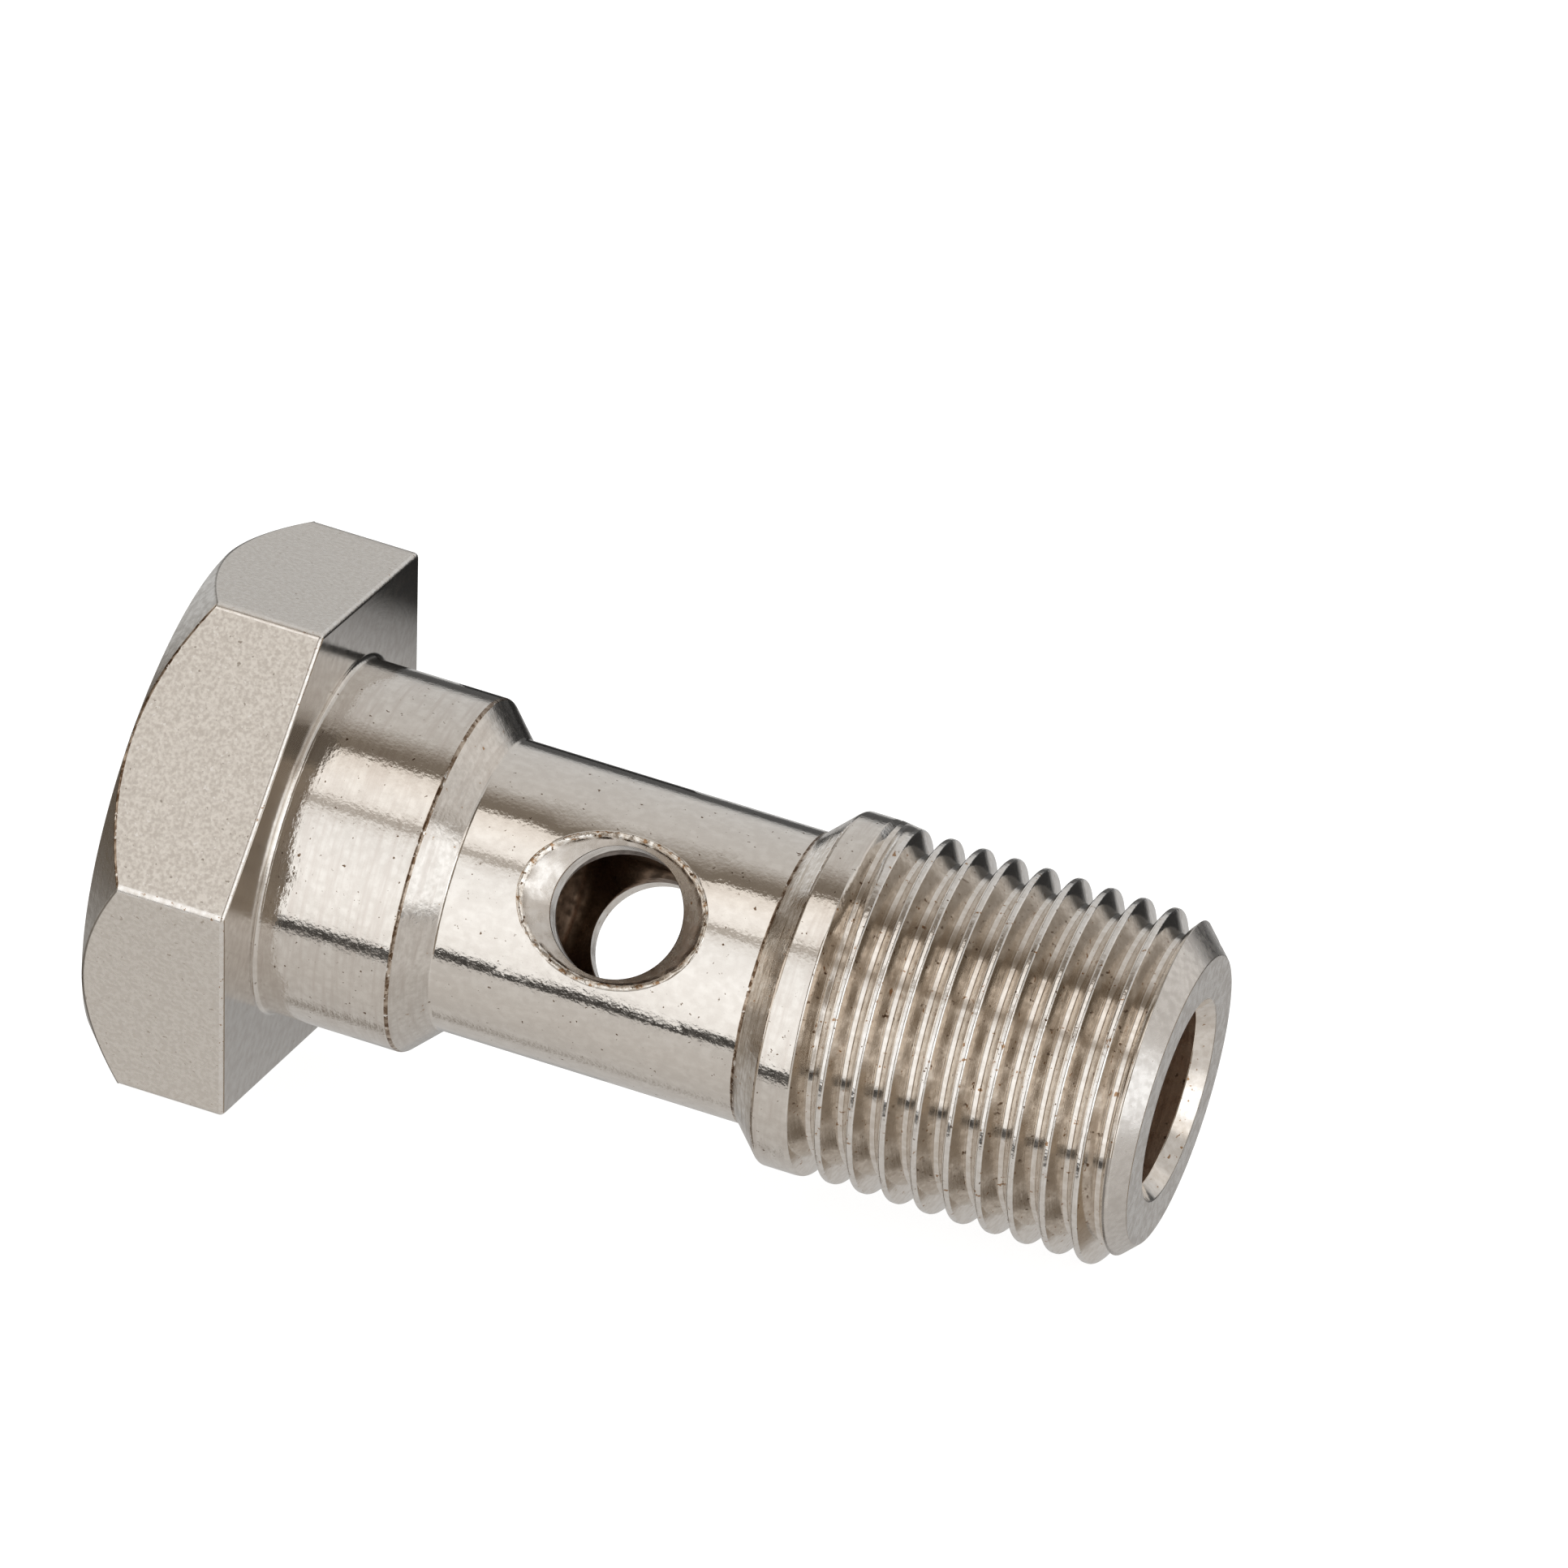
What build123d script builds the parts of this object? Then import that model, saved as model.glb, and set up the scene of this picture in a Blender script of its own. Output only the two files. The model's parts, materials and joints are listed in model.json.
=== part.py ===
from build123d import *
import os
from math import atan2, cos, degrees, radians, sin, tan

# Banjo bolt, millimetres. It is turned from hexagon bar: a chamfered head, a collar, a waist between
# two cones, and a threaded shank. A blind bore runs in from the threaded end and a countersunk hole
# crosses it through the waist, so that fluid entering the ring groove round the waist can leave
# through the end.

# Head
hex_across_flats = 14.0
head_height = 4.1
crown_inset = 0.05          # the crown's circle lies this far inside the flats
crown_slope = 43.0          # degrees, from the head's end face
seat_fillet = 0.15          # between the bearing face and the collar

# Shank, from the bearing face to the threaded end
thread_diameter = 9.728     # over the crests of a G 1/8 pipe thread, shown as a plain cylinder
collar_over_thread = 0.172  # how much wider the collar is than the thread
land_over_thread = 0.132    # how much wider the plain land beside the thread is
collar_length = 3.82
waist_depth = 0.885         # from the collar's surface down to the waist's
waist_length = 8.65         # the straight stretch between the cones
cone_slope = 45.0           # degrees, from the axis, at both ends of the waist
land_length = 0.93
thread_length = 9.35
end_chamfer = 0.845         # at 45 degrees

# Blind bore from the threaded end
bore_diameter = 5.1
bore_overrun = 0.8          # full bore beyond the cross hole
drill_point_angle = 118.0
mouth_diameter = 5.64       # entry cone on the end face
mouth_angle = 60.0

# Cross hole through the waist
cross_hole_diameter = 3.6
countersink_diameter = 5.1  # level with the waist's surface, along the bolt
countersink_angle = 90.0
cross_hole_shift = 0.1      # from the middle of the waist, towards the thread
cross_hole_turn = 62.5      # degrees round the axis from the upper flat, towards the front

# How far a cutter passes through the surface that it opens
cutter_reach = 1.0

# Radii and stations along the axis, counted from the bearing face
flat_radius = hex_across_flats / 2
corner_radius = flat_radius / cos(radians(30))
crown_radius = flat_radius - crown_inset
thread_radius = thread_diameter / 2
collar_radius = thread_radius + collar_over_thread / 2
land_radius = thread_radius + land_over_thread / 2
waist_radius = collar_radius - waist_depth
waist_start = collar_length + (collar_radius - waist_radius) / tan(radians(cone_slope))
waist_end = waist_start + waist_length
land_start = waist_end + (land_radius - waist_radius) / tan(radians(cone_slope))
land_end = land_start + land_length
shank_end = land_end + thread_length
bore_radius = bore_diameter / 2
mouth_radius = mouth_diameter / 2
cross_hole_radius = cross_hole_diameter / 2
cross_hole_station = (waist_start + waist_end) / 2 + cross_hole_shift
bore_bottom = cross_hole_station - cross_hole_radius - bore_overrun


def turned(outline):
    """The solid that an outline of (radius, station) points sweeps round the bolt's axis."""
    return revolve(Plane.XZ * make_face(outline), Axis.Z)


def head():
    """Hexagon head below the bearing face, its outer corners turned off by the crown's cone."""
    prism = extrude(RegularPolygon(flat_radius, 6, major_radius=False, rotation=30), -head_height)
    rim_radius = corner_radius + cutter_reach
    rim_station = (rim_radius - crown_radius) * tan(radians(crown_slope)) - head_height
    crown = Polyline(
        (0, -head_height),
        (crown_radius, -head_height),
        (rim_radius, rim_station),
        (rim_radius, 0),
        (0, 0),
        close=True,
    )
    return prism & turned(crown)


def shank():
    """Everything above the bearing face, turned in one profile that starts inside the head."""
    foot_radius = collar_radius + seat_fillet
    sink = head_height / 2
    fillet_middle = seat_fillet * (1 - sin(radians(45)))
    foot = Polyline((0, -sink), (foot_radius, -sink), (foot_radius, 0))
    fillet_arc = ThreePointArc(
        (foot_radius, 0),
        (collar_radius + fillet_middle, fillet_middle),
        (collar_radius, seat_fillet),
    )
    body = Polyline(
        (collar_radius, seat_fillet),
        (collar_radius, collar_length),
        (waist_radius, waist_start),
        (waist_radius, waist_end),
        (land_radius, land_start),
        (land_radius, land_end),
        (thread_radius, land_end),
        (thread_radius, shank_end - end_chamfer),
        (thread_radius - end_chamfer, shank_end),
        (0, shank_end),
        (0, -sink),
    )
    return turned(foot + fillet_arc + body)


def bore():
    """Blind bore with its drill point, and the entry cone at its mouth."""
    point_depth = bore_radius / tan(radians(drill_point_angle / 2))
    mouth_slope = tan(radians(mouth_angle / 2))
    mouth_depth = (mouth_radius - bore_radius) / mouth_slope
    cutter = Polyline(
        (0, bore_bottom - point_depth),
        (bore_radius, bore_bottom),
        (bore_radius, shank_end - mouth_depth),
        (mouth_radius + cutter_reach * mouth_slope, shank_end + cutter_reach),
        (0, shank_end + cutter_reach),
        close=True,
    )
    return turned(cutter)


def cross_drilling():
    """Half of the cross hole, from the bolt's axis out through the waist, with its countersink."""
    slope = tan(radians(countersink_angle / 2))
    countersink_radius = countersink_diameter / 2
    countersink_depth = (countersink_radius - cross_hole_radius) / slope
    cutter = Polyline(
        (0, 0),
        (cross_hole_radius, 0),
        (cross_hole_radius, waist_radius - countersink_depth),
        (countersink_radius + cutter_reach * slope, waist_radius + cutter_reach),
        (0, waist_radius + cutter_reach),
        close=True,
    )
    return turned(cutter)


def cross_holes():
    """The two halves of the cross hole, back to back, each laid square to the bolt's axis."""
    halves = []
    for side in (0, 180):
        across = Plane(
            origin=(0, 0, cross_hole_station),
            x_dir=(0, 0, 1),
            z_dir=Vector(1, 0, 0).rotate(Axis.Z, cross_hole_turn + side),
        )
        halves.append(across * cross_drilling())
    return halves


def resting_plane():
    """Where the bolt's own frame comes to lie: axis along X and nose down, so that one edge of the
    head's lower flat and the last crest of the thread both touch the ground."""
    tip = atan2(flat_radius - thread_radius, shank_end - end_chamfer)
    return Plane(origin=(0, 0, 0), x_dir=(sin(tip), 0, cos(tip)), z_dir=(cos(tip), 0, -sin(tip)))


def ground_shift(laid_bolt):
    """The move that puts the middle of the laid bolt's footprint on the origin."""
    box = laid_bolt.bounding_box()
    middle = box.center()
    return Pos(-middle.X, -middle.Y, -box.min.Z)


def banjo_bolt():
    """The whole bolt in its own frame: axis on Z, bearing face at zero, thread upwards."""
    bolt = head() + shank() - bore()
    for drilling in cross_holes():
        bolt -= drilling
    return bolt


upright_bolt = banjo_bolt()
laid_bolt = resting_plane() * upright_bolt
finished_bolt = ground_shift(laid_bolt) * laid_bolt

os.makedirs("parts", exist_ok=True)
export_step(finished_bolt, "parts/banjo_bolt.step")

print("overall length", round(shank_end + head_height, 3))
print("nose-down angle", round(degrees(atan2(flat_radius - thread_radius, shank_end - end_chamfer)), 3))
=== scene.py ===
import json
from math import atan2, ceil, cos, floor, hypot, pi, radians, sin, sqrt, tan

import bmesh
import bpy
from mathutils import Matrix, Vector, noise


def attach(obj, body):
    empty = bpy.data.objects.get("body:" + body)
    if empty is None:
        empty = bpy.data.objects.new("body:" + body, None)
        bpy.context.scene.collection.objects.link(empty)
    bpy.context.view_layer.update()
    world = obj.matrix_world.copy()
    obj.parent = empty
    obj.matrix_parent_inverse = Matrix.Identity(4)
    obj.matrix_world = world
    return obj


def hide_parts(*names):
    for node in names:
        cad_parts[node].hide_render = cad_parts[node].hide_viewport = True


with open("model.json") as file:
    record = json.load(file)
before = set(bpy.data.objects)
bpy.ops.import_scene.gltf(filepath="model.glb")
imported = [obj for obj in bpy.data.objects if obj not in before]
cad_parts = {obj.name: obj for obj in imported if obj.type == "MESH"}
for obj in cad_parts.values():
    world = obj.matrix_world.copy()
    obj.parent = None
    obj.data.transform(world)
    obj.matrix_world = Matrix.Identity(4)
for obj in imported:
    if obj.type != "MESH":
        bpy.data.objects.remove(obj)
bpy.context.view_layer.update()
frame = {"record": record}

# Sizes that the frame gives, in millimetres
mounts = {mount["name"]: mount for mount in frame["record"]["mounts"]}
collar_radius = mounts["collar"]["dims"]["r_mm"]
collar_straight = mounts["collar"]["dims"]["length_mm"]
thread_radius = mounts["thread"]["dims"]["r_mm"]
bore_radius = mounts["axial_bore"]["dims"]["r_mm"]
drill_radius = mounts["cross_hole"]["dims"]["r_mm"]

# Head, in millimetres
flat_radius = 7.0
corner_radius = flat_radius / cos(pi / 6)
head_height = 4.1
crown_radius = 6.95
crown_slope = radians(43)
seat_fillet = 0.15

# Stations along the axis from the bearing face, and the radii there, in millimetres
collar_end = seat_fillet + collar_straight
waist_radius = 4.065
waist_start = collar_end + collar_radius - waist_radius
waist_end = waist_start + 8.65
land_radius = 4.93
land_start = waist_end + land_radius - waist_radius
runout_start = 15.0
thread_start = 15.15
shank_end = 24.5
end_radius = 4.019
mouth_radius = 2.82
mouth_depth = 0.468
bore_bottom = 6.53
bore_point = 1.532

# Cross hole, in millimetres, and its turn round the axis from the upper flat
hole_turn = radians(62.5)
hole_station = 9.13
drill_shoulder = 3.315
far_side = pi
# Depth below the drill's shoulder past which the drilled wall is painted dark, a painted shade
dark_wall_depth = 0.7
shoulder_break = 0.03

# Burr round the cross hole's rim: millimetres, the share of the rim's width that it strays, and how
# finely its line and its height wander
rim_width = 0.09
burr_height = 0.08
burr_stray = 0.45
burr_line_fineness = 9
burr_height_fineness = 7

# Thread, in millimetres. The flats at crest and root and the straight flank leave the rest of a
# half pitch to the two roundings.
pitch = 25.4 / 28
thread_depth = 0.6403 * pitch
half_flank = radians(27.5)
flank_slope = 1 / tan(half_flank)
crest_flat = 0.03
root_flat = 0.05
crest_rounding = 0.08
flank_span = pitch / 2 - crest_flat - root_flat - thread_depth / flank_slope
both_roundings = flank_span / (cos(half_flank) - (1 - sin(half_flank)) / flank_slope)
root_rounding = both_roundings - crest_rounding
crest_station = 23.003

# Runout: where round the axis the first groove starts, the angle over which it reaches its depth,
# and the length over which the land falls to the crests
runout_turn = radians(-21)
runout_angle = radians(75)
land_fall = 0.55

# Broken edges, in millimetres
head_break = 0.13
crown_break = 0.05
edge_break = 0.06
fine_break = 0.025

# Mesh: steps round the axis, the distance under which points are one, and the strip of the end
# chamfer that belongs to the end face's sheet
columns = 240
snap = 0.0005
chamfer_strip = 0.08


def bolt_frame():
    """The bearing face's centre, and the bolt's own directions: upper flat, front and axis."""
    axis = Vector(mounts["collar"]["axis"]).normalized()
    collar_middle = Vector(mounts["collar"]["pos_m"])
    seat = collar_middle - axis * (collar_end - collar_straight / 2) * 0.001
    upper = Vector(mounts["bearing_face"]["pos_m"]) - seat
    upper = (upper - axis * upper.dot(axis)).normalized()
    front = axis.cross(upper)
    turn = Matrix((upper, front, axis)).transposed()
    return seat, turn


seat, bolt_turn = bolt_frame()
bolt_place = Matrix.Translation(seat) @ bolt_turn.to_4x4() @ Matrix.Scale(0.001, 4)


def spun(bm, outline):
    """Sweep an outline of (radius, station) points once round the bolt's axis."""
    points = [bm.verts.new((radius, 0, station)) for radius, station in outline]
    edges = [bm.edges.new(pair) for pair in zip(points, points[1:])]
    bmesh.ops.spin(bm, geom=points + edges, cent=(0, 0, 0), axis=(0, 0, 1), dvec=(0, 0, 0),
                   angle=2 * pi, steps=columns, use_merge=True, use_normal_flip=False,
                   use_duplicate=False)
    bmesh.ops.remove_doubles(bm, verts=bm.verts, dist=snap)


def ring_edges(bm, radius, station):
    """The edges that run round the axis at one radius and station."""
    found = set()
    for vertex in bm.verts:
        place = vertex.co
        if abs(place.z - station) < snap and abs(hypot(place.x, place.y) - radius) < snap:
            found.add(vertex)
    return [edge for edge in bm.edges if edge.verts[0] in found and edge.verts[1] in found]


def break_edges(bm, edges, width, segments=3):
    """Round off a set of edges."""
    bmesh.ops.bevel(bm, geom=edges, offset=width, offset_type="OFFSET", segments=segments,
                    profile=0.5, affect="EDGES", material=-1, clamp_overlap=False)


def even_steps(first, last, count):
    """Count stations from first to last, both included."""
    return [first + (last - first) * step / (count - 1) for step in range(count)]


# Windows that the cross hole's surfaces replace: columns to each side, millimetres to each side
# along the axis, and rows
waist_window = {"columns": 25, "reach": 2.8, "rows": 50}
bore_window = {"columns": 34, "reach": 2.1, "rows": 32}


def window_rows(window):
    """Stations of the rows in a window."""
    reach = window["reach"]
    return even_steps(hole_station - reach, hole_station + reach, window["rows"] + 1)


def body_outline():
    """Outline from the middle of the head's end face to the start of the thread's runout."""
    foot_radius = collar_radius + seat_fillet
    outline = [(0, -head_height), (crown_radius, -head_height)]
    outline += [(flat_radius, crown_height(flat_radius)), (flat_radius, 0)]
    for part in (0, 0.25, 0.5, 0.75, 1):
        arc = part * pi / 2
        outline.append((foot_radius - seat_fillet * sin(arc), seat_fillet * (1 - cos(arc))))
    outline += [(collar_radius, collar_end), (waist_radius, waist_start)]
    outline += [(waist_radius, station) for station in window_rows(waist_window)]
    outline += [(waist_radius, waist_end), (land_radius, land_start), (land_radius, runout_start)]
    return outline


def end_outline():
    """Outline from the end chamfer over the end face and down the bore to its drill point."""
    outline = [(end_radius + chamfer_strip, shank_end - chamfer_strip)]
    outline += [(end_radius, shank_end), (mouth_radius, shank_end)]
    outline += [(bore_radius, shank_end - mouth_depth)]
    outline += [(bore_radius, station) for station in reversed(window_rows(bore_window))]
    outline += [(bore_radius, bore_bottom), (0, bore_bottom - bore_point)]
    return outline


def crown_height(radius):
    """Station of the crown's cone at a radius."""
    return (radius - crown_radius) * tan(crown_slope) - head_height


def hexagon_reach(turn):
    """Distance from the axis to the hexagon's side in one direction."""
    from_middle = (turn + pi / 6) % (pi / 3) - pi / 6
    return flat_radius / cos(from_middle)


def shape_head(bm):
    """Push the head's outer rings out to the hexagon and the crown's cone, and break its edges."""
    crown_edges = ring_edges(bm, crown_radius, -head_height)
    crown_edges += ring_edges(bm, flat_radius, crown_height(flat_radius))
    seat_edges = ring_edges(bm, flat_radius, 0)
    for vertex in bm.verts:
        radius = hypot(vertex.co.x, vertex.co.y)
        if radius < flat_radius - snap:
            continue
        reach = hexagon_reach(atan2(vertex.co.y, vertex.co.x))
        vertex.co.x *= reach / radius
        vertex.co.y *= reach / radius
        if vertex.co.z < -snap:
            vertex.co.z = crown_height(reach)
    break_edges(bm, crown_edges, crown_break, segments=2)
    corners = set()
    for vertex in bm.verts:
        if abs(hypot(vertex.co.x, vertex.co.y) - corner_radius) < snap:
            corners.add(vertex)
    corner_edges = [edge for edge in bm.edges
                    if edge.verts[0] in corners and edge.verts[1] in corners]
    break_edges(bm, seat_edges + corner_edges, head_break)


def shape_shank(bm):
    """Break the turned edges between the collar, the cones and the land."""
    edges = ring_edges(bm, collar_radius, collar_end) + ring_edges(bm, waist_radius, waist_start)
    edges += ring_edges(bm, waist_radius, waist_end) + ring_edges(bm, land_radius, land_start)
    break_edges(bm, edges, edge_break)


def shape_end(bm):
    """Break the edges of the end face."""
    edges = ring_edges(bm, end_radius, shank_end) + ring_edges(bm, mouth_radius, shank_end)
    edges += ring_edges(bm, bore_radius, shank_end - mouth_depth)
    break_edges(bm, edges, fine_break)


def groove_profile(offset):
    """Depth of the full thread below its crests, at a distance along the axis from a crest."""
    crest_tangent = crest_rounding * cos(half_flank)
    from_crest = max(abs(offset) - crest_flat, 0)
    from_root = max(pitch / 2 - abs(offset) - root_flat, 0)
    if from_crest < crest_tangent:
        return crest_rounding - sqrt(crest_rounding ** 2 - from_crest ** 2)
    if from_root < root_rounding * cos(half_flank):
        return thread_depth - root_rounding + sqrt(root_rounding ** 2 - from_root ** 2)
    crest_drop = crest_rounding * (1 - sin(half_flank))
    return crest_drop + (from_crest - crest_tangent) * flank_slope


def thread_surface(turn, station):
    """Radius of the threaded shank: land, runout, thread and end chamfer."""
    coils = (station - crest_station) / pitch - turn / (2 * pi)
    offset = (coils - round(coils)) * pitch
    groove = round(coils - 0.5) + 0.5
    travelled = turn + groove * 2 * pi
    first_groove = round((runout_start - crest_station) / pitch) + 0.5
    ramp = (travelled - first_groove * 2 * pi - runout_turn) / runout_angle
    ramp = min(max(ramp, 0), 1)
    depth = max(groove_profile(offset) - (1 - ramp) * thread_depth, 0)
    ease = min(max((station - thread_start) / land_fall, 0), 1)
    outside = land_radius + (thread_radius - land_radius) * ease
    return min(outside - depth, end_radius + shank_end - station)


def pitch_rows():
    """Offsets from a crest to the rows of one pitch: close on the roundings, wide on the flanks."""
    crest_tangent = crest_rounding * cos(half_flank)
    root_tangent = root_rounding * cos(half_flank)
    falling = even_steps(crest_flat, crest_flat + crest_tangent, 4) + [pitch / 4]
    falling += even_steps(pitch / 2 - root_flat - root_tangent, pitch / 2 - root_flat, 4)
    rising = [pitch - offset for offset in reversed(falling)]
    return falling + rising


def wound_thread(bm):
    """The threaded stretch as one helical sheet, cut square at both ends."""
    top = shank_end - chamfer_strip
    first_coil = floor((runout_start - crest_station) / pitch) - 1
    last_coil = ceil((top - crest_station) / pitch)
    stations = []
    for coil in range(last_coil, first_coil - 1, -1):
        stations += [crest_station + coil * pitch + offset for offset in reversed(pitch_rows())]
    points = [bm.verts.new((thread_radius, 0, station)) for station in stations]
    edges = [bm.edges.new(pair) for pair in zip(points, points[1:])]
    bmesh.ops.spin(bm, geom=points + edges, cent=(0, 0, 0), axis=(0, 0, 1),
                   dvec=(0, 0, pitch / columns), angle=2 * pi, steps=columns, use_merge=False,
                   use_normal_flip=False, use_duplicate=False)
    bmesh.ops.remove_doubles(bm, verts=bm.verts, dist=snap)
    for vertex in bm.verts:
        turn = round(atan2(vertex.co.y, vertex.co.x) / (2 * pi) * columns) / columns * 2 * pi
        station = min(max(vertex.co.z, runout_start), top)
        radius = thread_surface(turn, station)
        vertex.co = (radius * cos(turn), radius * sin(turn), station)
    bmesh.ops.remove_doubles(bm, verts=bm.verts, dist=snap)


def hole_reading(turn, place):
    """A point as (along, across, height) from the cross hole's centre."""
    along = place.z - hole_station
    across = place.y * cos(turn) - place.x * sin(turn)
    height = place.x * cos(turn) + place.y * sin(turn)
    return along, across, height


def hole_point(turn, along, across, height):
    """The point at (along, across, height) from the cross hole's centre."""
    x = height * cos(turn) - across * sin(turn)
    y = height * sin(turn) + across * cos(turn)
    return Vector((x, y, hole_station + along))


def cut_window(bm, turn, wall_radius, window):
    """Take out the window's faces and give back the edges round it."""
    nearest = round(turn / (2 * pi) * columns) * 2 * pi / columns
    half_turn = window["columns"] * 2 * pi / columns
    gone = []
    for face in bm.faces:
        middle = face.calc_center_median()
        if abs(hypot(middle.x, middle.y) - wall_radius) > edge_break:
            continue
        if abs(middle.z - hole_station) > window["reach"]:
            continue
        from_turn = (atan2(middle.y, middle.x) - nearest + pi) % (2 * pi) - pi
        if abs(from_turn) < half_turn:
            gone.append(face)
    seen = {}
    for face in gone:
        for edge in face.edges:
            seen[edge] = seen.get(edge, 0) + 1
    loop = [edge for edge, count in seen.items() if count == 1]
    bmesh.ops.delete(bm, geom=gone, context="FACES_ONLY")
    loose = [edge for edge, count in seen.items() if count > 1 and edge.is_valid]
    bmesh.ops.delete(bm, geom=loose, context="EDGES")
    return loop


def sunk(bm, loop, turn, rule):
    """Extrude a loop of edges to a new ring, its points placed by a rule of (along, across)."""
    grown = bmesh.ops.extrude_edge_only(bm, edges=loop)["geom"]
    fresh = {item for item in grown if isinstance(item, bmesh.types.BMVert)}
    for vertex in fresh:
        along, across = hole_reading(turn, vertex.co)[:2]
        vertex.co = hole_point(turn, *rule(along, across))
    return [item for item in grown if isinstance(item, bmesh.types.BMEdge)
            and item.verts[0] in fresh and item.verts[1] in fresh]


def rim_reach(direction):
    """Distance from the hole's axis to the countersink's rim on the waist."""
    shift = drill_shoulder - drill_radius
    side = sin(direction) ** 2
    return (sqrt(shift ** 2 + (1 + side) * (waist_radius ** 2 - shift ** 2)) - shift) / (1 + side)


def raggedness(direction, turn, fineness):
    """A wandering value from -1 to 1 round the hole's rim."""
    stretch = 1.6
    place = Vector((cos(direction), sin(direction), turn)) * fineness
    return max(min(noise.noise(place) * stretch, 1), -1)


def on_waist(part):
    """Rule for a ring on the waist, part of the way from the window to the rim's outer side."""
    def rule(along, across):
        direction = atan2(across, along)
        reach = hypot(along, across)
        reach += (rim_reach(direction) + rim_width - reach) * part
        across = reach * sin(direction)
        return reach * cos(direction), across, sqrt(waist_radius ** 2 - across ** 2)
    return rule


def on_burr(turn):
    """Rule for the ragged ring of metal that the countersink's cutter has pushed up at the rim."""
    other_noise = 5

    def rule(along, across):
        direction = atan2(across, along)
        stray = burr_stray * rim_width * raggedness(direction, turn, burr_line_fineness)
        reach = rim_reach(direction) + stray
        across = reach * sin(direction)
        height_share = raggedness(direction, turn + other_noise, burr_height_fineness)
        lift = burr_height * (0.5 + 0.5 * height_share)
        return reach * cos(direction), across, sqrt(waist_radius ** 2 - across ** 2) + lift
    return rule


def in_countersink(part):
    """Rule for a ring on the countersink's cone, part of the way from the rim to the drilling."""
    def rule(along, across):
        direction = atan2(across, along)
        reach = rim_reach(direction) - rim_width
        reach += (drill_radius - reach) * part
        return reach * cos(direction), reach * sin(direction), drill_shoulder + reach - drill_radius
    return rule


def in_drilling(depth):
    """Rule for a ring on the drilled wall, at a depth below its shoulder."""
    def rule(along, across):
        direction = atan2(across, along)
        return drill_radius * cos(direction), drill_radius * sin(direction), drill_shoulder - depth
    return rule


def on_bore(along, across):
    """Rule for the ring where the drilled wall meets the bore."""
    direction = atan2(across, along)
    across = drill_radius * sin(direction)
    return drill_radius * cos(direction), across, sqrt(bore_radius ** 2 - across ** 2)


# Rings on the waist and in the countersink, as shares of the way inwards
waist_rings = (0.35, 0.65, 0.85, 1)
countersink_rings = (0, 0.25, 0.5, 0.75, 0.96, 1)


def cross_hole(bm, turn):
    """One side of the cross hole, from the waist through its countersink to the bore."""
    loop = cut_window(bm, turn, waist_radius, waist_window)
    for part in waist_rings:
        loop = sunk(bm, loop, turn, on_waist(part))
    loop = sunk(bm, loop, turn, on_burr(turn))
    for part in countersink_rings:
        loop = sunk(bm, loop, turn, in_countersink(part))
    for depth in (shoulder_break, dark_wall_depth / 2, dark_wall_depth):
        loop = sunk(bm, loop, turn, in_drilling(depth))
    inner = cut_window(bm, turn, bore_radius, bore_window)
    inner = sunk(bm, inner, turn, on_bore)
    bmesh.ops.bridge_loops(bm, edges=loop + inner)


# Limits by which a face's finish is told: shares of a unit normal along or across the axis
along_axis = 0.95
just_forward = 0.05
just_backward = 0.03
steep_crown = 0.7
square_on = 0.999
back_lean = 0.3

# The same, in millimetres
flat_margin = 0.003
head_margin = 0.01
crest_width = 0.03
end_strip = 0.1
chamfer_margin = 0.01
edge_strip = 0.051


def head_finish(centre, normal):
    """Finish of a face on the head."""
    if normal.z > along_axis:
        return "bearing_face"
    if normal.z > just_forward:
        return "edge_wear_and_highlight"
    turn = atan2(centre.y, centre.x)
    flat_number = round(turn / (pi / 3))
    flat_turn = flat_number * pi / 3
    in_front = flat_number == 1
    if normal.z < -along_axis:
        return "faced_head"
    if normal.z < -just_backward:
        return "dark_edge" if in_front and normal.z > -steep_crown else "crown_painted_shade"
    square = normal.x * cos(flat_turn) + normal.y * sin(flat_turn)
    if abs(normal.z) < just_backward and square < square_on:
        return "edge_wear_and_highlight"
    on_flat = hexagon_reach(turn) - hypot(centre.x, centre.y) < flat_margin
    return "front_flat_painted_shade" if on_flat and in_front else "milled_flat"


def shank_finish(centre):
    """Finish of a face between the bearing face and the land, outside the cross hole."""
    for station in (collar_end, waist_end, land_start):
        if abs(centre.z - station) < edge_strip:
            return "dark_edge"
    if centre.z < collar_end:
        return "turned_collar"
    if centre.z < waist_start:
        return "collar_cone"
    if centre.z < waist_end:
        return "turned_waist"
    return "thread_cone"


def hole_finish(centre):
    """Finish of a face inside the cross hole, or nothing outside it."""
    for turn in (hole_turn, hole_turn + far_side):
        along, across, height = hole_reading(turn, centre)
        reach = hypot(along, across)
        rim = rim_reach(atan2(across, along))
        if height < 0 or reach > rim + rim_width:
            continue
        if reach > rim - rim_width:
            return "hole_rim"
        if reach > drill_radius + snap or height > drill_shoulder - dark_wall_depth:
            return "countersink"
        return "drilled_bore_painted_shade"
    return None


def thread_finish(radius, normal):
    """Finish of a face on the thread: its crests are painted lighter, a painted highlight, and its
    flanks towards the head are painted darker, a painted shade."""
    if radius > thread_radius - crest_width:
        return "crest_wear_and_highlight"
    return "back_flank_painted_shade" if normal.z < -back_lean else "rolled_thread"


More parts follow.
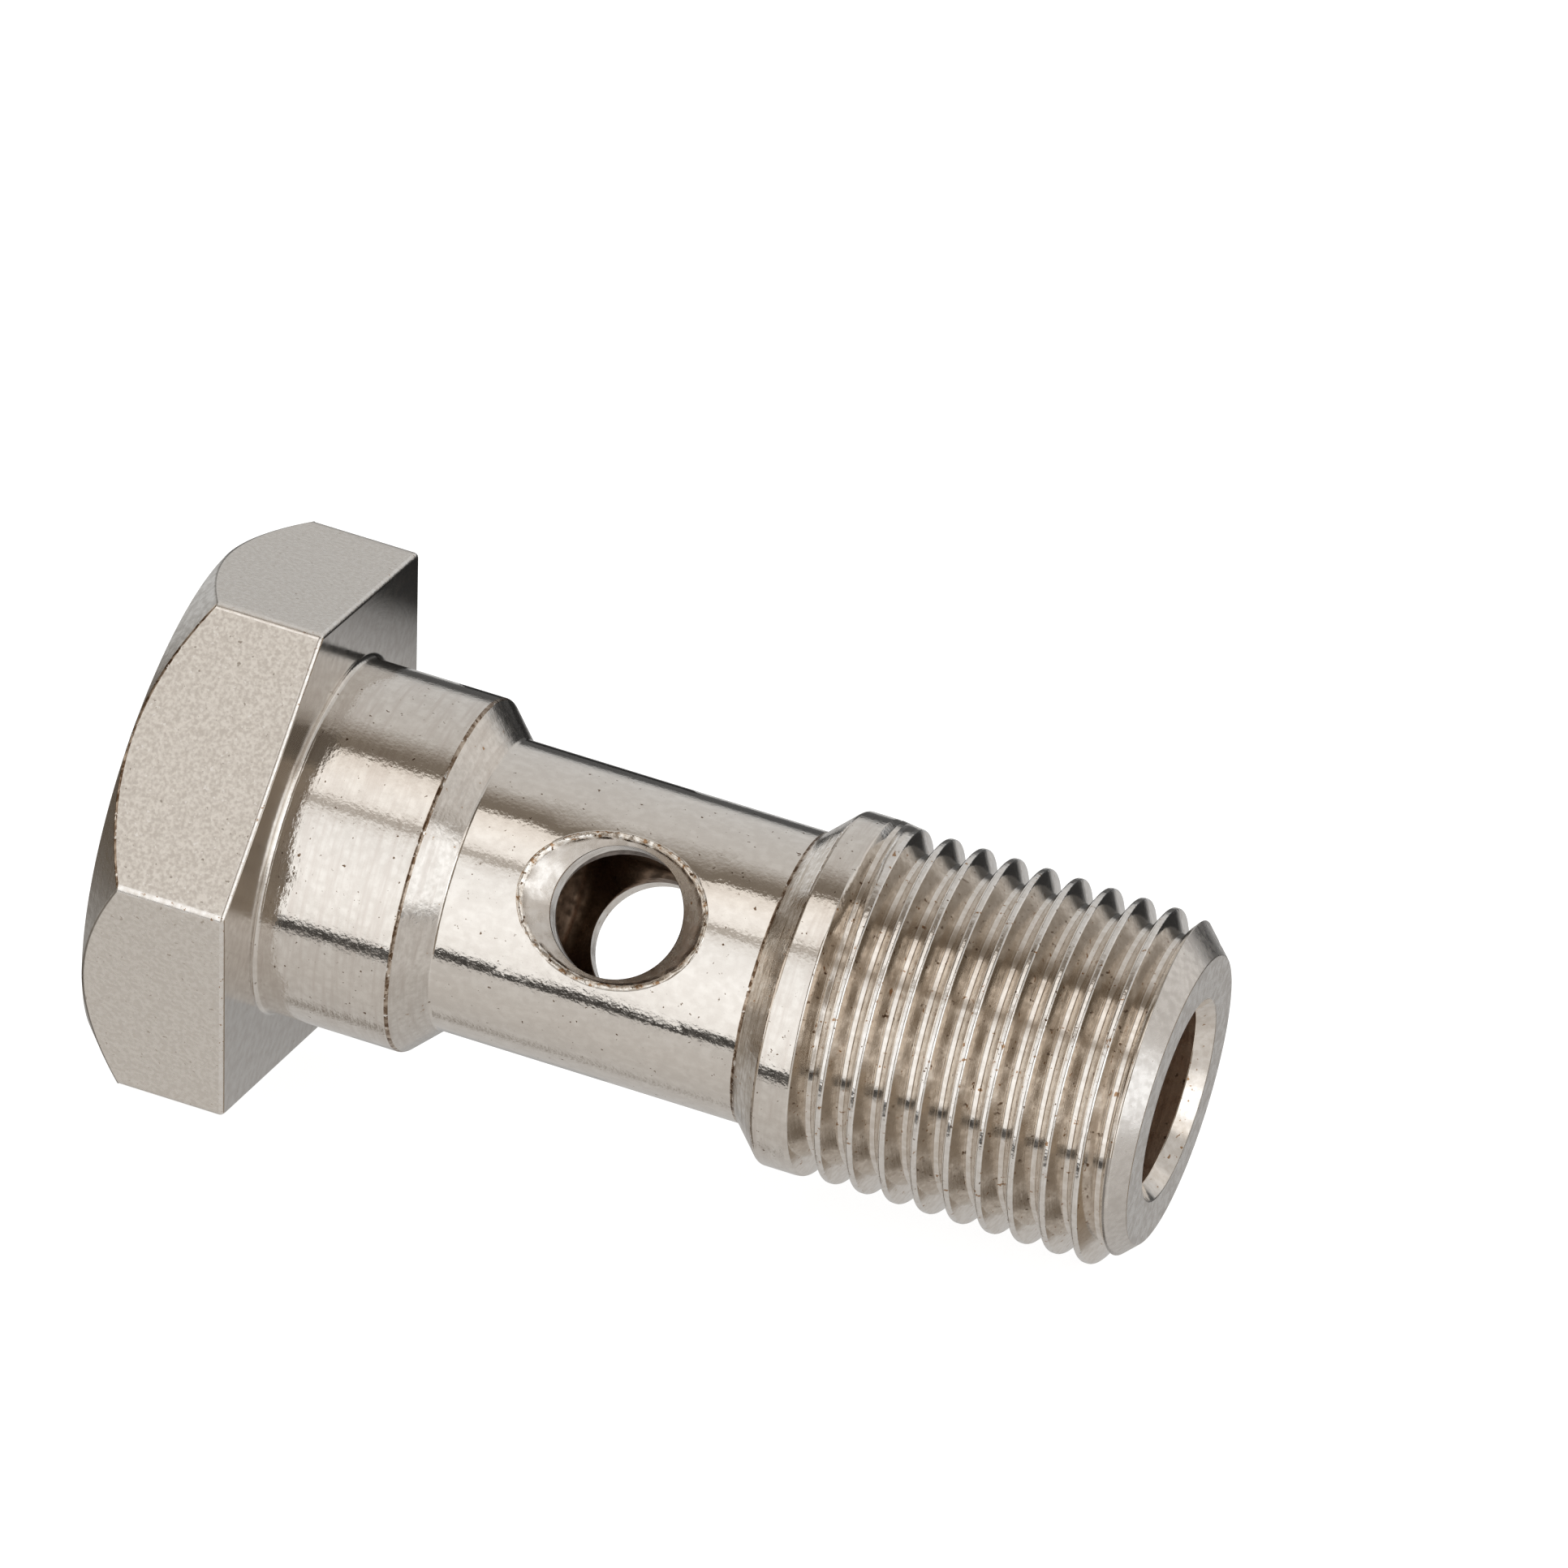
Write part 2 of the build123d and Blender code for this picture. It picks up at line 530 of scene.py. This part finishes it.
def finish_at(centre, normal):
    """Index of the finish that a face carries, by its place on the bolt."""
    radius = hypot(centre.x, centre.y)
    chamfer_radius = end_radius + shank_end - centre.z
    if centre.z < head_margin:
        name = head_finish(centre, normal)
    elif radius < bore_radius + snap:
        name = "axial_bore" if centre.z > waist_end else "drilled_bore_painted_shade"
    elif centre.z > shank_end - end_strip or radius > chamfer_radius - chamfer_margin:
        name = "faced_end"
    elif radius > thread_radius + snap and centre.z > land_start:
        name = "turned_collar"
    elif centre.z > runout_start + snap:
        name = thread_finish(radius, normal)
    else:
        name = hole_finish(centre) or shank_finish(centre)
    return finish_order.index(name)


def add(tree, kind, inputs=None, **settings):
    """A shader node with its settings, each input given a value or another node's output."""
    made = tree.nodes.new(kind)
    for name, value in settings.items():
        setattr(made, name, value)
    for socket, value in (inputs or {}).items():
        if isinstance(value, bpy.types.NodeSocket):
            tree.links.new(value, made.inputs[socket])
        else:
            made.inputs[socket].default_value = value
    return made


def bolt_coordinates(tree):
    """Object coordinates turned into the bolt's own millimetres."""
    place = add(tree, "ShaderNodeTexCoord").outputs["Object"]
    mapping = add(tree, "ShaderNodeMapping", {
        "Vector": place,
        "Location": seat,
        "Rotation": bolt_turn.to_euler(),
        "Scale": (0.001, 0.001, 0.001),
    }, vector_type="TEXTURE")
    return mapping.outputs["Vector"]


def stretched(tree, place, scale):
    """Coordinates multiplied along each of the bolt's own directions."""
    made = add(tree, "ShaderNodeVectorMath", {0: place, 1: scale}, operation="MULTIPLY")
    return made.outputs["Vector"]


def noise_at(tree, place, scale, detail=2.0):
    """Noise from 0 to 1, with features of 1 / scale millimetres."""
    made = add(tree, "ShaderNodeTexNoise", {
        "Vector": stretched(tree, place, scale), "Scale": 1.0, "Detail": detail,
    })
    return made.outputs["Fac"]


def between(tree, value, low, high, start=0.0, end=1.0):
    """A value's share of the way from low to high, as a number from start to end."""
    made = add(tree, "ShaderNodeMapRange", {
        "Value": value, "From Min": low, "From Max": high, "To Min": start, "To Max": end,
    })
    return made.outputs["Result"]


def even(scale):
    """The same noise scale in every direction."""
    return (scale, scale, scale)


# How much a millimetre outwards counts beside a millimetre along the axis in a lathe tool's marks
face_travel = 1.9


def turned_coordinates(tree, place):
    """Coordinates that follow a lathe tool's marks: a point on the unit circle, and the way along
    the profile."""
    outward = stretched(tree, place, (1, 1, 0))
    radius = add(tree, "ShaderNodeVectorMath", {0: outward}, operation="LENGTH").outputs["Value"]
    circle = add(tree, "ShaderNodeVectorMath", {0: outward}, operation="NORMALIZE")
    split = add(tree, "ShaderNodeSeparateXYZ", {"Vector": circle.outputs["Vector"]})
    station = add(tree, "ShaderNodeSeparateXYZ", {"Vector": place}).outputs["Z"]
    travel = add(tree, "ShaderNodeMath", {
        0: radius, 1: face_travel, 2: station,
    }, operation="MULTIPLY_ADD").outputs["Value"]
    return add(tree, "ShaderNodeCombineXYZ", {
        "X": split.outputs["X"], "Y": split.outputs["Y"], "Z": travel,
    }).outputs["Vector"]


def bumped(tree, place, bumps, marks):
    """A normal from layers of (noise scale, depth in millimetres), one on another: bumps on plain
    coordinates, then a lathe tool's marks round the axis."""
    layers = [(noise_at(tree, place, scale), depth) for scale, depth in bumps]
    if marks:
        turned = turned_coordinates(tree, place)
        layers += [(noise_at(tree, turned, scale), depth) for scale, depth in marks]
    normal = None
    for height, depth in layers:
        inputs = {"Height": height, "Distance": depth * 0.001, "Strength": 1.0}
        if normal is not None:
            inputs["Normal"] = normal
        normal = add(tree, "ShaderNodeBump", inputs).outputs["Normal"]
    return normal


def mixed(tree, share, first, second):
    """A share of a second colour mixed into a first one or into a node's output."""
    made = add(tree, "ShaderNodeMixRGB", {"Fac": share, "Color1": first, "Color2": (*second, 1)})
    return made.outputs["Color"]


# Levels of the noise between which a tint wanders to its shade and a streak comes in, and how
# softly a speck does
wander_levels = (0.38, 0.62)
streak_levels = (0.45, 0.70)
speck_softness = 0.035


def metal(name, tint, shade, roughness, wander, bumps, specks, marks=(), streaks=()):
    """Plated metal: a tint that wanders to a shade, layers of bumps and of a tool's marks, streaks
    of (noise scale, colour), and specks of (noise scale, level, colour) where the plating is dark,
    bright or gone."""
    made = bpy.data.materials.new(name)
    made.use_nodes = True
    tree = made.node_tree
    tree.nodes.clear()
    place = bolt_coordinates(tree)
    share = noise_at(tree, place, wander, 4.0)
    colour = mixed(tree, between(tree, share, *wander_levels), (*tint, 1), shade)
    for scale, streak_colour in streaks:
        streak = noise_at(tree, turned_coordinates(tree, place), scale, 3.0)
        colour = mixed(tree, between(tree, streak, *streak_levels), colour, streak_colour)
    for scale, level, speck_colour in specks:
        mask = between(tree, noise_at(tree, place, scale, 3.0), level, level + speck_softness)
        colour = mixed(tree, mask, colour, speck_colour)
    shader = add(tree, "ShaderNodeBsdfPrincipled", {
        "Base Color": colour, "Metallic": 1.0,
        "Roughness": between(tree, share, *wander_levels, *roughness),
        "Normal": bumped(tree, place, bumps, marks),
    })
    add(tree, "ShaderNodeOutputMaterial", {"Surface": shader.outputs["BSDF"]})
    return made


# Colours of the specks: bare metal, tarnish, dulled plating and rubbed plating. The last is also
# the tint of the head's broken edges, where it is a painted highlight.
bronze = (0.42, 0.26, 0.15)
dark_bronze = (0.16, 0.10, 0.06)
dulled = (0.45, 0.40, 0.35)
bright = (1.0, 0.98, 0.95)


# The bolt's finishes, in the order in which the skin holds them: name, tint, shade, least and most
# roughness, the wander's noise scale, bumps, specks, a tool's marks and its streaks
finish_table = [
    ("milled_flat", (0.945, 0.91, 0.86), (0.86, 0.82, 0.765), (0.24, 0.32), even(8.0),
     [(even(2.0), 0.003), (even(13.0), 0.0026)],
     [(even(7.0), 0.68, (0.60, 0.54, 0.48)), (even(9.0), 0.70, bright)]),
    # The front flat: the milled flats' tint and shade made darker, a painted shade
    ("front_flat_painted_shade", (0.93, 0.89, 0.83), (0.76, 0.715, 0.66), (0.30, 0.40), even(10.0),
     [(even(1.5), 0.005), (even(12.0), 0.006)],
     [(even(8.0), 0.66, (1.0, 0.97, 0.93)), (even(6.0), 0.69, dulled)]),
    # The head's broken edges: the bright tint is a painted highlight along them; the bronze specks
    # are bare metal
    ("edge_wear_and_highlight", bright, (0.94, 0.90, 0.85), (0.22, 0.32), even(6.0),
     [(even(5.0), 0.007)],
     [(even(7.0), 0.66, bronze)]),
    ("faced_head", (0.84, 0.81, 0.765), (0.77, 0.735, 0.69), (0.20, 0.28), even(1.2),
     [(even(3.0), 0.002), (even(11.0), 0.0015)],
     [(even(6.0), 0.70, dulled)],
     [((0.8, 0.8, 3.5), 0.006), ((2.0, 2.0, 11.0), 0.002)]),
    # The crown's cone: its dark tint and shade are painted shade
    ("crown_painted_shade", (0.52, 0.50, 0.47), (0.44, 0.42, 0.39), (0.22, 0.32), even(5.0),
     [(even(3.0), 0.003), (even(11.0), 0.003)],
     [(even(6.0), 0.70, dulled)],
     [((1.2, 1.2, 6.0), 0.004)]),
    # The bearing face under the head: its tint and shade, darker than the faced head's, are painted
    # shade
    ("bearing_face", (0.76, 0.73, 0.69), (0.66, 0.62, 0.58), (0.12, 0.18), even(3.0),
     [(even(2.0), 0.0015), (even(12.0), 0.001)],
     [(even(6.0), 0.70, (0.40, 0.34, 0.28))],
     [((1.5, 1.5, 5.0), 0.0012)]),
    ("turned_collar", (0.88, 0.845, 0.795), (0.79, 0.75, 0.70), (0.07, 0.12), even(4.0),
     [(even(2.5), 0.002), (even(10.0), 0.0036)],
     [(even(7.0), 0.69, dark_bronze)],
     [((2.5, 2.5, 7.0), 0.0022), ((5.0, 5.0, 18.0), 0.0010)],
     [((3.5, 3.5, 8.0), (0.75, 0.70, 0.65))]),
    ("turned_waist", (0.90, 0.865, 0.815), (0.82, 0.78, 0.73), (0.06, 0.11), even(4.0),
     [(even(2.5), 0.002), (even(10.0), 0.0034)],
     [(even(7.0), 0.69, dark_bronze)],
     [((3.0, 3.0, 9.0), 0.0012)],
     [((16.0, 16.0, 1.6), (0.82, 0.78, 0.73))]),
    ("collar_cone", (0.82, 0.78, 0.73), (0.72, 0.68, 0.63), (0.12, 0.2), even(6.0),
     [(even(3.0), 0.003), (even(8.0), 0.004)],
     [(even(6.0), 0.70, bronze)],
     [((2.0, 2.0, 8.0), 0.0025)],
     [((3.0, 3.0, 9.0), (0.66, 0.61, 0.56))]),
    ("thread_cone", (0.76, 0.72, 0.67), (0.60, 0.55, 0.49), (0.12, 0.2), even(5.0),
     [(even(3.0), 0.003), (even(8.0), 0.004)],
     [(even(6.0), 0.68, bronze)],
     [((2.0, 2.0, 7.0), 0.0020)],
     [((4.0, 4.0, 6.0), (0.44, 0.38, 0.31))]),
    ("dark_edge", (0.62, 0.53, 0.44), (0.22, 0.15, 0.10), (0.2, 0.3), even(4.0),
     [(even(6.0), 0.012)],
     [(even(4.5), 0.54, dark_bronze), (even(6.0), 0.62, bright)]),
    ("rolled_thread", (0.92, 0.875, 0.82), (0.80, 0.745, 0.68), (0.08, 0.14), even(5.0),
     [(even(3.0), 0.0010), (even(9.0), 0.0014)],
     [(even(6.0), 0.67, bronze)],
     [((2.5, 2.5, 12.0), 0.0014)]),
    # Flanks that face the head: the rolled thread's tint and shade made darker, a painted shade
    ("back_flank_painted_shade", (0.78, 0.73, 0.67), (0.67, 0.62, 0.56), (0.10, 0.18), even(5.0),
     [(even(3.0), 0.0010), (even(9.0), 0.0014)],
     [(even(6.0), 0.66, dark_bronze)],
     [((2.5, 2.5, 12.0), 0.0014)]),
    # Crests: tint and shade lighter and cooler than the flanks', a painted highlight; the specks
    # are bare metal and tarnish
    ("crest_wear_and_highlight", (0.92, 0.90, 0.87), (0.84, 0.81, 0.77), (0.10, 0.18), even(5.0),
     [(even(6.0), 0.009)],
     [(even(5.0), 0.66, bronze), (even(8.0), 0.68, dark_bronze)]),
    ("faced_end", (0.82, 0.79, 0.755), (0.74, 0.71, 0.675), (0.25, 0.34), even(5.0),
     [(even(3.0), 0.003), (even(11.0), 0.002)],
     [(even(6.0), 0.71, dulled)],
     [((1.5, 1.5, 6.0), 0.0015)]),
    ("countersink", (0.95, 0.91, 0.86), (0.86, 0.81, 0.75), (0.20, 0.30), even(3.0),
     [(even(3.0), 0.002), (even(8.0), 0.002)],
     [(even(4.0), 0.72, bronze)]),
    ("hole_rim", (0.96, 0.93, 0.88), (0.66, 0.58, 0.49), (0.2, 0.3), even(5.0),
     [(even(6.0), 0.018)],
     [(even(5.0), 0.59, bronze), (even(7.0), 0.63, dark_bronze)]),
    # Inside the bore and the cross hole's drilling: the dark brown tints and shades are painted
    # shade
    ("axial_bore", (0.70, 0.55, 0.44), (0.48, 0.36, 0.27), (0.3, 0.45), even(3.0),
     [(even(3.0), 0.004)],
     [(even(3.0), 0.68, (0.15, 0.10, 0.07))],
     [((1.5, 1.5, 6.0), 0.006)]),
    ("drilled_bore_painted_shade", (0.28, 0.20, 0.145), (0.16, 0.11, 0.075), (0.35, 0.5), even(4.0),
     [(even(3.0), 0.004), (even(9.0), 0.003)],
     [(even(3.0), 0.68, (0.34, 0.24, 0.17))]),
]
finish_order = [finish[0] for finish in finish_table]


def leaning_normals(bm):
    """Normal at each point, led by its largest faces, so that broken edges don't shade a flat."""
    normals = []
    for vertex in bm.verts:
        total = Vector((0, 0, 0))
        for face in vertex.link_faces:
            total += face.normal * face.calc_area() ** 2
        normals.append(total.normalized())
    return normals


def banjo_bolt():
    """The whole bolt as one closed skin."""
    bm = bmesh.new()
    spun(bm, body_outline())
    shape_shank(bm)
    shape_head(bm)
    end = bmesh.new()
    spun(end, end_outline())
    shape_end(end)
    thread = bmesh.new()
    wound_thread(thread)
    for piece in (end, thread):
        spare = bpy.data.meshes.new("spare")
        piece.to_mesh(spare)
        piece.free()
        bm.from_mesh(spare)
        bpy.data.meshes.remove(spare)
    bmesh.ops.remove_doubles(bm, verts=bm.verts, dist=snap)
    cross_hole(bm, hole_turn)
    cross_hole(bm, hole_turn + far_side)
    bmesh.ops.recalc_face_normals(bm, faces=bm.faces)
    bm.normal_update()
    for face in bm.faces:
        face.smooth = True
        face.material_index = finish_at(face.calc_center_median(), face.normal)
    normals = [bolt_turn @ normal for normal in leaning_normals(bm)]
    bmesh.ops.transform(bm, matrix=bolt_place, verts=bm.verts)
    mesh = bpy.data.meshes.new("bolt_skin")
    bm.to_mesh(mesh)
    bm.free()
    mesh.normals_split_custom_set_from_vertices(normals)
    skin = bpy.data.objects.new("bolt_skin", mesh)
    bpy.context.scene.collection.objects.link(skin)
    for finish in finish_table:
        mesh.materials.append(metal(*finish))
    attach(skin, "root")
    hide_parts("banjo_bolt")
    return skin


# How the bolt lies in the picture: its axis leans out of it and slants down to the right, and the
# upper flat is turned towards the camera
lean = radians(12.477)
slant = radians(17.1)
flat_lean = radians(21.084)

# Camera, in metres from the bearing face's centre, and its lens in millimetres
camera_reach = 0.5226
seat_right = -0.012382
seat_up = -0.001348
focal_length = 448.0


def picture_directions():
    """The bolt's axis, and the two directions square to it that point up in the picture and out."""
    upper, front, axis = bolt_turn.col[0], bolt_turn.col[1], bolt_turn.col[2]
    up_square = upper * cos(flat_lean) - front * sin(flat_lean)
    near = upper * sin(flat_lean) + front * cos(flat_lean)
    return axis, up_square, near


def add_camera():
    """The camera, placed from the bolt's own directions."""
    axis, up_square, near = picture_directions()
    along = axis * cos(lean) - near * sin(lean)
    towards = axis * sin(lean) + near * cos(lean)
    right = along * cos(slant) + up_square * sin(slant)
    up = up_square * cos(slant) - along * sin(slant)
    data = bpy.data.cameras.new("camera")
    data.lens = focal_length
    data.sensor_width = 36.0
    data.clip_start = 0.05
    data.clip_end = 10.0
    camera = bpy.data.objects.new("camera", data)
    place = seat - right * seat_right - up * seat_up + towards * camera_reach
    turn = Matrix((right, up, towards)).transposed()
    camera.matrix_world = Matrix.Translation(place) @ turn.to_4x4()
    bpy.context.scene.collection.objects.link(camera)
    bpy.context.scene.camera = camera


# Light tent round the bolt: (degrees from the upper flat towards the front, brightness, warmth)
tent_bands = [
    (-180, 0.52, 0.10), (-112, 0.50, 0.04), (-97, 0.50, 0.0), (-95, 0.10, 0.0), (-78, 0.08, 0.0),
    (-74, 0.42, 0.0), (-68, 0.60, 0.03), (-14, 0.58, 0.08), (-3, 0.32, 0.22), (3, 0.20, 0.32),
    (11.5, 0.185, 0.34), (13.5, 0.85, 0.14), (24, 1.0, 0.10), (34, 1.06, 0.06), (44, 0.95, 0.08),
    (47.2, 0.45, 0.18), (49.8, 0.45, 0.18), (53, 0.84, 0.06), (62, 1.0, 0.02), (90, 1.08, 0.02),
    (110, 1.04, 0.03), (126, 0.97, 0.04), (127.8, 0.05, 0.15), (133.8, 0.05, 0.15),
    (136, 0.60, 0.08), (160, 0.56, 0.10), (180, 0.52, 0.10),
]

# Round patches in the tent: degrees from the upper flat towards the front, how far the direction
# points along the axis, inner and outer half angle, brightness and warmth
tent_patches = [
    (-85, -0.72, 14, 24, 0.83, 0.0),
    (-111, -0.985, 17, 29, 0.17, 0.40),
    (42, -0.85, 20, 32, 0.24, 0.42),
    (78, -0.90, 14, 26, 0.90, 0.18),
    (-111, 0.23, 7, 12, 0.49, 0.01),
    (-93, 0.35, 10, 17, 0.03, 0.0),
    (-45, 0.75, 20, 34, 0.73, 0.07),
    (-5, 0.62, 16, 28, 0.55, 0.06),
    (145, 0.64, 16, 30, 0.63, 0.07),
    (131, 0.30, 9, 18, 0.60, 0.10),
    (131, -0.62, 10, 18, 0.50, 0.20),
    (-128, 0.62, 10, 18, 0.26, 0.30),
    (15, -0.84, 10, 20, 0.13, 0.40),
    (144, -0.76, 8, 16, 0.34, 0.35),
    (166, -0.64, 9, 19, 0.27, 0.28),
    (-164, -0.52, 8, 16, 0.18, 0.30),
    (-28, -0.64, 9, 19, 0.30, 0.20),
    (-52, -0.53, 8, 17, 0.36, 0.12),
    (-160, -0.40, 7, 12.5, 0.18, 0.30),
    (30, -0.57, 8, 15, 0.45, 0.26),
    (69, -0.57, 8, 15, 0.50, 0.26),
    (108, -0.57, 8, 15, 0.50, 0.26),
    (-111, 0.87, 24, 34, 0.24, 0.45),
    (69, 0.985, 12, 20, 1.24, -0.02),
    (69, 0.72, 12, 20, 1.38, -0.04),
    (20, 0.28, 12, 20, 0.14, 0.32),
    (118, 0.28, 12, 20, 0.26, 0.32),
    (44, 0.27, 11, 18, 0.26, 0.34),
    (94, 0.27, 11, 18, 0.22, 0.34),
    (69, 0.24, 12, 20, 0.24, 0.35),
]


# Brightness of the white that the camera sees past the bolt
backdrop_strength = 1.05


def warmed(brightness, warmth):
    """A grey moved towards warm."""
    return (brightness, brightness * (1 - warmth * 0.5), brightness * (1 - warmth))


def bolt_direction(turn, along):
    """Unit direction in the bolt's own frame, from degrees round the axis and a share along it."""
    across = sqrt(1 - along ** 2)
    return (across * cos(radians(turn)), across * sin(radians(turn)), along)


def ramped(tree, place, stops):
    """Colour at a place from 0 to 1, between stops of (place, colour)."""
    ramp = add(tree, "ShaderNodeValToRGB", {"Fac": place})
    elements = ramp.color_ramp.elements
    while len(elements) < len(stops):
        elements.new(0.5)
    for element, (position, colour) in zip(elements, stops):
        element.position = position
        element.color = (*colour, 1)
    return ramp.outputs["Color"]


def banded(tree, turned):
    """Colour of the tent's long bands in one direction."""
    split = add(tree, "ShaderNodeSeparateXYZ", {"Vector": turned})
    angle = add(tree, "ShaderNodeMath", {
        0: split.outputs["Y"], 1: split.outputs["X"],
    }, operation="ARCTAN2").outputs["Value"]
    place = add(tree, "ShaderNodeMapRange", {
        "Value": angle, "From Min": -pi, "From Max": pi, "To Min": 0.0, "To Max": 1.0,
    }).outputs["Result"]
    stops = [((degrees_round + 180) / 360, warmed(brightness, warmth))
             for degrees_round, brightness, warmth in tent_bands]
    return ramped(tree, place, stops)


def light_tent():
    """Soft bands of light along the bolt, and plain white where the camera looks past it."""
    world = bpy.data.worlds.new("light_tent")
    world.use_nodes = True
    tree = world.node_tree
    tree.nodes.clear()
    direction = add(tree, "ShaderNodeTexCoord").outputs["Generated"]
    turned = add(tree, "ShaderNodeMapping", {
        "Vector": direction,
        "Rotation": bolt_turn.to_euler(),
    }, vector_type="TEXTURE").outputs["Vector"]
    colour = banded(tree, turned)
    for turn, along, inner, outer, brightness, warmth in tent_patches:
        towards = add(tree, "ShaderNodeVectorMath", {
            0: turned, 1: bolt_direction(turn, along),
        }, operation="DOT_PRODUCT").outputs["Value"]
        share = add(tree, "ShaderNodeMapRange", {
            "Value": towards, "From Min": cos(radians(outer)), "From Max": cos(radians(inner)),
            "To Min": 0.0, "To Max": 1.0,
        }, interpolation_type="SMOOTHSTEP").outputs["Result"]
        colour = mixed(tree, share, colour, warmed(brightness, warmth))
    tent = add(tree, "ShaderNodeBackground", {"Color": colour, "Strength": 1.0})
    backdrop = add(tree, "ShaderNodeBackground", {
        "Color": (1, 1, 1, 1), "Strength": backdrop_strength,
    })
    seen = add(tree, "ShaderNodeLightPath").outputs["Is Camera Ray"]
    both = add(tree, "ShaderNodeMixShader", {
        0: seen, 1: tent.outputs["Background"], 2: backdrop.outputs["Background"],
    })
    add(tree, "ShaderNodeOutputWorld", {"Surface": both.outputs["Shader"]})
    bpy.context.scene.world = world


# Dark card behind the head: (millimetres upwards, brightness), then metres from the bolt's axis and
# half the card's length along it
card_bands = [(-9, 0.45), (-5, 0.38), (0, 0.38), (5.0, 0.38), (6.0, 0.24), (6.7, 0.03), (9, 0.01)]
card_warmth = 0.03
card_reach = 0.013
card_half_length = 0.0036


def add_head_card():
    """Card that only the head's bearing face mirrors."""
    axis, up_square, near = picture_directions()
    half_height = card_bands[-1][0] * 0.001
    bm = bmesh.new()
    corners = [(-half_height, -card_half_length), (half_height, -card_half_length),
               (half_height, card_half_length), (-half_height, card_half_length)]
    bm.faces.new([bm.verts.new((x, y, 0)) for x, y in corners])
    mesh = bpy.data.meshes.new("head_card")
    bm.to_mesh(mesh)
    bm.free()
    card = bpy.data.objects.new("head_card", mesh)
    centre = seat - near * card_reach + axis * (card_reach * tan(lean))
    turn = Matrix((up_square, axis, near)).transposed()
    card.matrix_world = Matrix.Translation(centre) @ turn.to_4x4()
    bpy.context.scene.collection.objects.link(card)
    made = bpy.data.materials.new("head_card")
    made.use_nodes = True
    tree = made.node_tree
    tree.nodes.clear()
    place = add(tree, "ShaderNodeTexCoord").outputs["Object"]
    split = add(tree, "ShaderNodeSeparateXYZ", {"Vector": place})
    height = add(tree, "ShaderNodeMapRange", {
        "Value": split.outputs["X"], "From Min": -half_height, "From Max": half_height,
        "To Min": 0.0, "To Max": 1.0,
    }).outputs["Result"]
    lowest, highest = card_bands[0][0], card_bands[-1][0]
    stops = [((level - lowest) / (highest - lowest), warmed(brightness, card_warmth))
             for level, brightness in card_bands]
    colour = ramped(tree, height, stops)
    glow = add(tree, "ShaderNodeEmission", {"Color": colour, "Strength": 1.0})
    add(tree, "ShaderNodeOutputMaterial", {"Surface": glow.outputs["Emission"]})
    mesh.materials.append(made)
    card.visible_camera = False
    card.visible_diffuse = False
    card.visible_shadow = False


# Floor and the light over it, in metres and watts
floor_half_width = 1.5
floor_grey = 0.3
floor_glow = 0.92
lamp_width = 1.2
lamp_height = 1.0
lamp_power = 8.0


def add_floor():
    """Plain white floor that the bolt lies on, bright enough to lose most of the shadow."""
    bm = bmesh.new()
    bmesh.ops.create_grid(bm, x_segments=1, y_segments=1, size=floor_half_width)
    mesh = bpy.data.meshes.new("floor")
    bm.to_mesh(mesh)
    bm.free()
    floor = bpy.data.objects.new("floor", mesh)
    bpy.context.scene.collection.objects.link(floor)
    white = bpy.data.materials.new("floor_white")
    white.use_nodes = True
    shader = white.node_tree.nodes["Principled BSDF"]
    shader.inputs["Base Color"].default_value = (floor_grey, floor_grey, floor_grey, 1)
    shader.inputs["Roughness"].default_value = 0.9
    shader.inputs["Specular IOR Level"].default_value = 0.0
    shader.inputs["Emission Color"].default_value = (1, 1, 1, 1)
    shader.inputs["Emission Strength"].default_value = floor_glow
    mesh.materials.append(white)
    floor.visible_glossy = False


def add_floor_light():
    """Large soft light from above for the floor."""
    data = bpy.data.lights.new("floor_light", "AREA")
    data.shape = "DISK"
    data.size = lamp_width
    data.energy = lamp_power
    lamp = bpy.data.objects.new("floor_light", data)
    lamp.location = (0, 0, lamp_height)
    lamp.visible_glossy = False
    lamp.visible_camera = False
    bpy.context.scene.collection.objects.link(lamp)


scene = bpy.context.scene
scene.view_settings.view_transform = "Standard"
scene.view_settings.look = "None"
add_camera()
light_tent()
add_head_card()
add_floor()
add_floor_light()
banjo_bolt()
